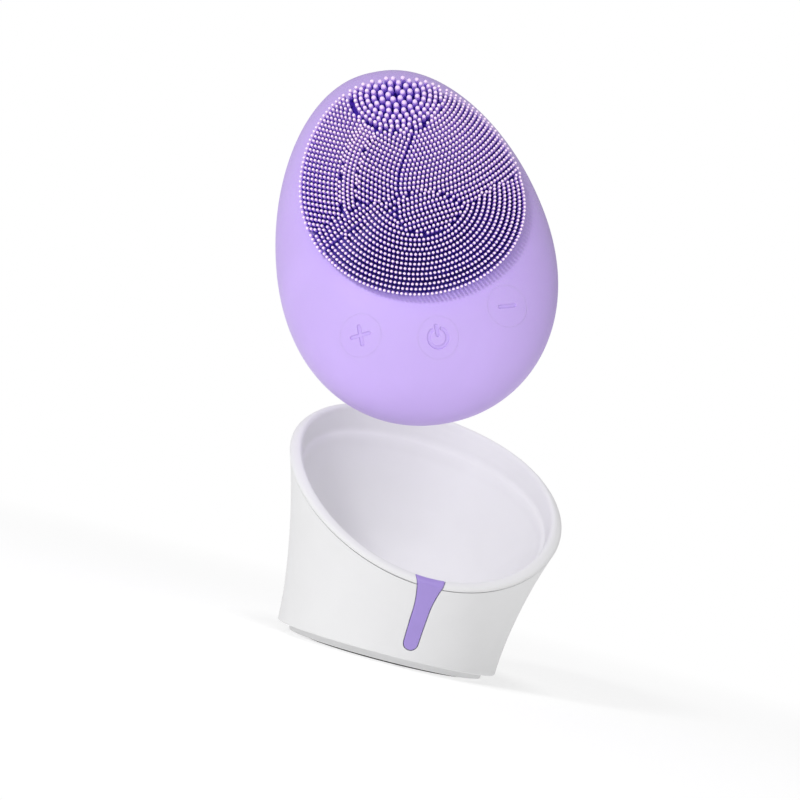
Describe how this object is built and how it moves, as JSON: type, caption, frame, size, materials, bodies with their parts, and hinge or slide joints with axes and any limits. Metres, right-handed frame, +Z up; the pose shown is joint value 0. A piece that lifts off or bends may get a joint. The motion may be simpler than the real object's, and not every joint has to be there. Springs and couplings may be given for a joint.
{
  "type": "facial cleansing brush",
  "caption": "Egg-shaped silicone facial cleansing brush with a bristled face and touch buttons, lifted above its slanted charging cup.",
  "frame": {"origin": "centre of the charging stand's underside, on the surface it stands on", "axes": "+Z up, -Y towards the stand's low front edge with the inlay, +X to the stand's right seen from the front"},
  "size_m": [0.0981, 0.0793, 0.154],
  "materials": {
    "lilac_silicone": "matte silicone",
    "white_plastic": "satin",
    "lilac_plastic": "satin",
    "case_plastic": "satin",
    "grey_plastic": "matte",
    "black_rubber": "matte",
    "circuit_board": "solder mask",
    "chip_plastic": "moulded",
    "steel": "brushed",
    "copper_brass": "enamelled",
    "ferrite": "sintered",
    "cell_wrap": "shrink sleeve",
    "led_lens": "clear"
  },
  "bodies": {
    "stand": {"stand_outer_shell": "white_plastic", "stand_bowl": "white_plastic", "front_inlay": "lilac_plastic", "base_plate": "white_plastic", "foot_pad": "black_rubber", "base_screw_1": "steel", "base_screw_2": "steel", "base_screw_3": "steel", "ballast_ring": "steel", "stand_board": "circuit_board", "charger_chip": "chip_plastic", "usb_c_socket": "steel", "coil_carrier": "grey_plastic", "transmitter_ferrite": "ferrite", "transmitter_coil": "copper_brass"},
    "brush": {"front_silicone_skin": "lilac_silicone", "rear_silicone_skin": "lilac_silicone", "bristle_field": "lilac_silicone", "inner_front_case": "case_plastic", "inner_rear_case": "case_plastic", "case_gasket": "black_rubber", "case_screw_1": "steel", "case_screw_2": "steel", "case_screw_3": "steel", "case_screw_4": "steel", "plus_switch": "chip_plastic", "power_switch": "chip_plastic", "minus_switch": "chip_plastic", "main_board": "circuit_board", "controller_chip": "chip_plastic", "status_led": "led_lens", "battery_connector": "case_plastic", "battery_cell": "cell_wrap", "battery_foam_pad": "black_rubber", "motor_can": "steel", "motor_sleeve": "black_rubber", "motor_cradle": "grey_plastic", "receiver_coil": "copper_brass", "receiver_ferrite": "ferrite"},
    "plus_button": {"plus_button": "lilac_silicone"},
    "power_button": {"power_button": "lilac_silicone"},
    "minus_button": {"minus_button": "lilac_silicone"},
    "motor_rotor": {"motor_shaft": "steel", "eccentric_weight": "copper_brass"}
  },
  "joints": [
    {"name": "brush_lift", "type": "hinge", "parent": "stand", "child": "brush", "pos_m": [-0.096, 0.0059, 0.0427], "axis": [0.014, -0.9689, -0.247], "range_deg": [-27, 0]},
    {"name": "plus_press", "type": "slide", "parent": "brush", "child": "plus_button", "axis": [0.1998, 0.9675, -0.1549], "range_m": [0, 0.0004], "stiffness_N_per_m": 3000, "springref_m": -0.0001},
    {"name": "power_press", "type": "slide", "parent": "brush", "child": "power_button", "axis": [0.1998, 0.9675, -0.1549], "range_m": [0, 0.0004], "stiffness_N_per_m": 3000, "springref_m": -0.0001},
    {"name": "minus_press", "type": "slide", "parent": "brush", "child": "minus_button", "axis": [0.1998, 0.9675, -0.1549], "range_m": [0, 0.0004], "stiffness_N_per_m": 3000, "springref_m": -0.0001},
    {"name": "motor_spin", "type": "hinge", "parent": "brush", "child": "motor_rotor", "pos_m": [-0.027, -0.00784, 0.13589], "axis": [0.891, -0.1136, 0.4395], "continuous": true}
  ]
}
